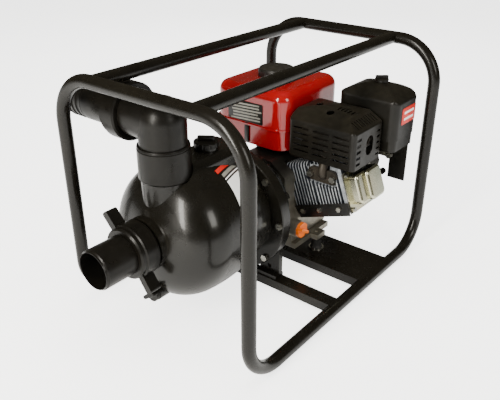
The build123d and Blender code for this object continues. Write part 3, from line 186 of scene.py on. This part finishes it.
MATERIALS = {
    "frame_paint": paint("frame_enamel", "0c0a07", "12100b", 0.27, coat=0.12, patch=9, grain=700,
                         grain_depth=0.02, wave=0.02, dust=0.01, specular=0.22),
    "casing_black": paint("casing_gloss", "0c0b08", "13110c", 0.25, coat=0.12, patch=8, grain=500,
                          grain_depth=0.03, wave=0.04, dust=0.01, specular=0.27),
    "fitting_black": paint("fitting_satin", "0a0907", "110f0b", 0.33, patch=16, grain=800,
                           grain_depth=0.10, dust=0.01, specular=0.2),
    "seal_rubber": paint("seal_rubber", "141414", "1b1b1a", 0.62, patch=30, grain=1200),
    "mount_rubber": paint("mount_rubber", "151514", "1e1d1b", 0.66, patch=30, grain=1200, dust=0.1),
    "zinc_steel": paint("zinc_plate", "c9c8c0", "a3a196", 0.30, metal=1.0, patch=60, grain=1500,
                        grain_depth=0.1),
    "cast_iron": paint("cast_iron", "4b4a47", "383735", 0.55, metal=0.8, patch=30, grain=700, grain_depth=0.3),
    # cast_alloy darkens above a height of about 0.17 to 0.23 as painted shade on the upper crankcase.
    "cast_alloy": paint("cast_alloy", "a8a498", "7d7668", 0.40, metal=0.85, patch=24, grain=600,
                        grain_depth=0.28, dust=0.03, painted_shade_above=(0.17, 0.23)),
    "fin_alloy": finned_alloy(),
    "gasket_grey": paint("gasket_fibre", "4d4b45", "3a3934", 0.8, patch=40, grain=1500),
    "cover_steel": paint("cover_zinc", "d9d0b0", "a8b3a4", 0.20, metal=1.0, patch=11, grain=900,
                         grain_depth=0.06, wave=0.05),
    "oil_cap_orange": paint("cap_orange", "f27405", "d95e02", 0.36, patch=40, grain=900, specular=0.5),
    "shroud_black": paint("shroud_paint", "0b0b0a", "13120f", 0.36, patch=15, grain=800,
                          grain_depth=0.1, dust=0.03, specular=0.4),
    "guard_black": paint("guard_paint", "0b0a07", "15120c", 0.38, patch=12, grain=900,
                         grain_depth=0.14, dust=0.06, dust_color="6b6450", specular=0.25),
    "exhaust_steel": paint("exhaust_heat", "1d1b18", "332c22", 0.55, metal=0.4, patch=18, grain=700, dust=0.08),
    "grip_black": paint("grip_rubber", "121212", "191918", 0.6, patch=30, grain=1200),
    "tank_red": paint("tank_enamel", "8c0409", "740307", 0.16, coat=0.45, patch=5, grain=420,
                      grain_depth=0.015, wave=0.05, marks=0.3),
    "cap_black": paint("cap_black", "0d0c0a", "161410", 0.38, patch=20, grain=900, grain_depth=0.12, dust=0.08),
    "filter_black": paint("filter_moulding", "0b0a07", "13110c", 0.38, patch=14, grain=1000,
                          grain_depth=0.16, dust=0.05, dust_color="6b6450", specular=0.25),
    "filter_foam": paint("filter_foam", "5a4f3a", "453c2c", 0.9, patch=80, grain=500, grain_depth=0.6),
    "shaft_steel": paint("ground_steel", "b5b5b2", "9a9a97", 0.25, metal=1.0, patch=40, grain=1200),
    "switch_red": paint("switch_red", "b3140f", "96100c", 0.35, patch=40, grain=900),
}


def finish_of(node):
    for entry in frame["record"]["subparts"]:
        if entry["node"] == node:
            return entry["material_slot"]
    return "fitting_black"


for node_name, node_object in frame["nodes"].items():
    node_object.data.materials.clear()
    node_object.data.materials.append(MATERIALS[finish_of(node_name)])


# ---------------------------------------------------------------- mesh helpers
def mesh_object(name, bm, material, body, smooth_angle=35.0):
    """Turns a bmesh into a piece that rides on body."""
    bmesh.ops.recalc_face_normals(bm, faces=bm.faces[:])
    data = bpy.data.meshes.new(name)
    bm.to_mesh(data)
    bm.free()
    for polygon in data.polygons:
        polygon.use_smooth = True
    data.set_sharp_from_angle(angle=math.radians(smooth_angle))
    made = bpy.data.objects.new(name, data)
    bpy.context.scene.collection.objects.link(made)
    data.materials.append(material)
    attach(made, body)
    return made


# ---------------------------------------------------------------- labels, without any text
BOWL_Y, BOWL_Z, BOWL_TILT = -0.050, 0.163, math.radians(8.0)
BOWL_NECK, BOWL_WIDE, BOWL_LENGTH = 0.103, 0.134, 0.160


def bowl_point(along, angle, lift):
    """A point just off the casing bowl, along its axis from the flange and round it from +X."""
    bulge = (BOWL_LENGTH ** 2 + (BOWL_WIDE - BOWL_NECK) ** 2) / (2 * (BOWL_WIDE - BOWL_NECK))
    radius = BOWL_WIDE - bulge + math.sqrt(bulge ** 2 - (BOWL_LENGTH - along) ** 2) + lift
    across, up = radius * math.cos(math.radians(angle)), radius * math.sin(math.radians(angle))
    y = BOWL_Y - (along * math.cos(BOWL_TILT) - up * math.sin(BOWL_TILT))
    z = BOWL_Z + along * math.sin(BOWL_TILT) + up * math.cos(BOWL_TILT)
    return Vector((SHAFT_X + across, y + SHIFT.y, z))


def casing_label(name, rows, material, lift):
    """A band of the casing's label between two shares of its height; the label is skewed on the bowl."""
    bm = bmesh.new()
    columns = 24
    steps = max(2, int(30 * (rows[1] - rows[0])))
    grid = []
    for j in range(steps + 1):
        down = rows[0] + (rows[1] - rows[0]) * j / steps
        line = []
        for i in range(columns + 1):
            across = i / columns
            start = 0.1235 + (0.008 if down < 0.08 else 0.0)
            along = start + (0.034 + 0.056 * down - start) * across
            top = 66.0 + 16.0 * across
            line.append(bm.verts.new(bowl_point(along, top + (12.0 - top) * down, lift)))
        grid.append(line)
    for j in range(steps):
        for i in range(columns):
            bm.faces.new((grid[j][i], grid[j][i + 1], grid[j + 1][i + 1], grid[j + 1][i]))
    return mesh_object(name, bm, material, "frame_and_casings", 80)


LABEL_RED = paint("label_red", "cf2417", "b81a0c", 0.35, patch=30, grain=900, grain_depth=0.03)
LABEL_GREY = paint("label_grey", "8d8b80", "6c6a60", 0.4, patch=90, grain=900, grain_depth=0.03)
LABEL_DARK = paint("label_dark", "0e0d0a", "15130f", 0.35, patch=30, grain=900, grain_depth=0.03, specular=0.3)
LABEL_WHITE = paint("label_white", "f7f6f2", "efede6", 0.4, patch=20, grain=900, grain_depth=0.02)
casing_label("label_backing", (0.06, 1.0), LABEL_DARK, 0.0004)
for band_name, rows, band_material in (
    ("label_header", (0.0, 0.075), LABEL_RED),
    ("label_band", (0.095, 0.155), LABEL_GREY),
    ("label_strip", (0.185, 0.205), LABEL_WHITE),
    ("label_field", (0.235, 0.985), LABEL_WHITE),
):
    casing_label(band_name, rows, band_material, 0.0008)


def plate(name, center, size, normal_axis, material, thickness=0.0008, corner=0.003, turn=0.0):
    """A thin rounded plate lying across one axis; size is its width and its height."""
    bm = bmesh.new()
    width, height = size[0] / 2, size[1] / 2
    outline = []
    for cx, cy, start in ((1, 1, 0), (-1, 1, 90), (-1, -1, 180), (1, -1, 270)):
        for step in range(5):
            a = math.radians(start + step * 22.5)
            u = cx * (width - corner) + corner * math.cos(a)
            v = cy * (height - corner) + corner * math.sin(a)
            outline.append((u, v))
    rings = []
    for depth, inset in ((0.0, 0.0), (thickness * 0.7, 0.0), (thickness, 0.0003)):
        ring = []
        for u, v in outline:
            scale_u, scale_v = 1 - inset / width, 1 - inset / height
            ring.append(bm.verts.new((u * scale_u, v * scale_v, depth)))
        rings.append(ring)
    for low, high in zip(rings, rings[1:]):
        for i in range(len(low)):
            j = (i + 1) % len(low)
            bm.faces.new((low[i], low[j], high[j], high[i]))
    bm.faces.new(rings[-1])
    bm.faces.new(rings[0][::-1])
    facing = {"-y": Matrix.Rotation(math.radians(90), 4, "X"),
              "+x": Matrix.Rotation(math.radians(90), 4, "Z") @ Matrix.Rotation(math.radians(90), 4, "X")}
    place = Matrix.Translation(Vector(center) + SHIFT) @ facing[normal_axis] @ Matrix.Rotation(turn, 4, "Z")
    bmesh.ops.transform(bm, matrix=place, verts=bm.verts[:])
    return mesh_object(name, bm, material, "frame_and_casings", 40)


plate("tank_plate", (-0.101, 0.0679, 0.331), (0.096, 0.046), "-y", LABEL_DARK)
for i in range(6):
    width = 0.082 - 0.006 * (i % 3)
    plate(f"tank_plate_bar_{i}", (-0.100 + 0.003 * (i % 2), 0.0672, 0.3135 + 0.0068 * i), (width, 0.0036), "-y",
          LABEL_GREY, 0.0004, 0.0012, math.radians(3))
plate("tank_strap", (-0.097, 0.0679, 0.284), (0.013, 0.046), "-y", LABEL_DARK)
plate("filter_plaque", (0.1968, 0.2475, 0.341), (0.060, 0.036), "+x", LABEL_RED)
for i in range(2):
    plate(f"filter_plaque_bar_{i}", (0.1974, 0.2475, 0.334 + 0.014 * i), (0.042, 0.005), "+x",
          LABEL_WHITE, 0.0004, 0.0015)


# ---------------------------------------------------------------- stage, light, camera
def area_light(name, place, target, size, power, color=(1, 1, 1), mirrored=True):
    data = bpy.data.lights.new(name, "AREA")
    data.shape = "RECTANGLE"
    data.size, data.size_y = size
    data.energy = power
    data.color = color
    made = bpy.data.objects.new(name, data)
    bpy.context.scene.collection.objects.link(made)
    made.visible_glossy = mirrored
    made.location = place
    made.rotation_euler = (Vector(target) - Vector(place)).to_track_quat("-Z", "Y").to_euler()
    return made


def floor_piece():
    bm = bmesh.new()
    corners = ((-6, -6), (6, -6), (6, 6), (-6, 6))
    bm.faces.new([bm.verts.new((x, y, -0.0005)) for x, y in corners])
    data = bpy.data.meshes.new("floor")
    bm.to_mesh(data)
    bm.free()
    made = bpy.data.objects.new("floor", data)
    bpy.context.scene.collection.objects.link(made)
    pale = paint("floor_pale", "f7f7f5", "f3f3f1", 0.8, patch=2, grain=60, grain_depth=0.01, specular=0.1)
    surface = pale.node_tree.nodes["Principled BSDF"]
    surface.inputs["Emission Color"].default_value = (1.0, 1.0, 0.99, 1.0)
    path = pale.node_tree.nodes.new("ShaderNodeLightPath")
    glow = pale.node_tree.nodes.new("ShaderNodeMapRange")
    glow.inputs["To Min"].default_value = 0.3
    glow.inputs["To Max"].default_value = 2.6
    pale.node_tree.links.new(path.outputs["Is Camera Ray"], glow.inputs["Value"])
    pale.node_tree.links.new(glow.outputs["Result"], surface.inputs["Emission Strength"])
    data.materials.append(pale)


floor_piece()
area_light("key", (0.14, -2.15, 1.25), (0, 0, 0.2), (0.36, 1.7), 85, (1.0, 0.96, 0.88))
area_light("left", (-1.6, -1.9, 1.9), (0, 0, 0.25), (1.0, 1.0), 30, (1.0, 0.97, 0.92), mirrored=False)
area_light("top", (0.2, 0.3, 2.4), (0, 0, 0.2), (2.2, 1.6), 42, mirrored=False)
area_light("right", (2.2, -0.3, 1.3), (0, 0, 0.25), (0.7, 1.0), 22, (1.0, 0.97, 0.90))
area_light("back", (-1.4, 1.9, 1.4), (0, 0, 0.3), (1.6, 1.2), 24, mirrored=False)


def studio_world():
    """White all round for diffuse light; a dim warm room is what glossy surfaces mirror."""
    world = bpy.data.worlds.new("studio")
    world.use_nodes = True
    tree = world.node_tree
    background = tree.nodes["Background"]
    path = tree.nodes.new("ShaderNodeLightPath")
    mirrored = tree.nodes.new("ShaderNodeMix")
    mirrored.data_type = "RGBA"
    mirrored.inputs[6].default_value = (1.0, 1.0, 1.0, 1.0)
    mirrored.inputs[7].default_value = (0.11, 0.098, 0.07, 1.0)
    tree.links.new(path.outputs["Is Glossy Ray"], mirrored.inputs[0])
    tree.links.new(mirrored.outputs[2], background.inputs["Color"])
    background.inputs["Strength"].default_value = 0.7
    bpy.context.scene.world = world


studio_world()

camera_data = bpy.data.cameras.new("camera")
camera_data.lens = 45.726
camera_data.sensor_width = 36.0
camera = bpy.data.objects.new("camera", camera_data)
bpy.context.scene.collection.objects.link(camera)
camera.location = (0.75934, -0.90965, 0.78766)
camera.rotation_euler = (math.radians(62.980), 0.0, math.radians(38.853))
bpy.context.scene.camera = camera
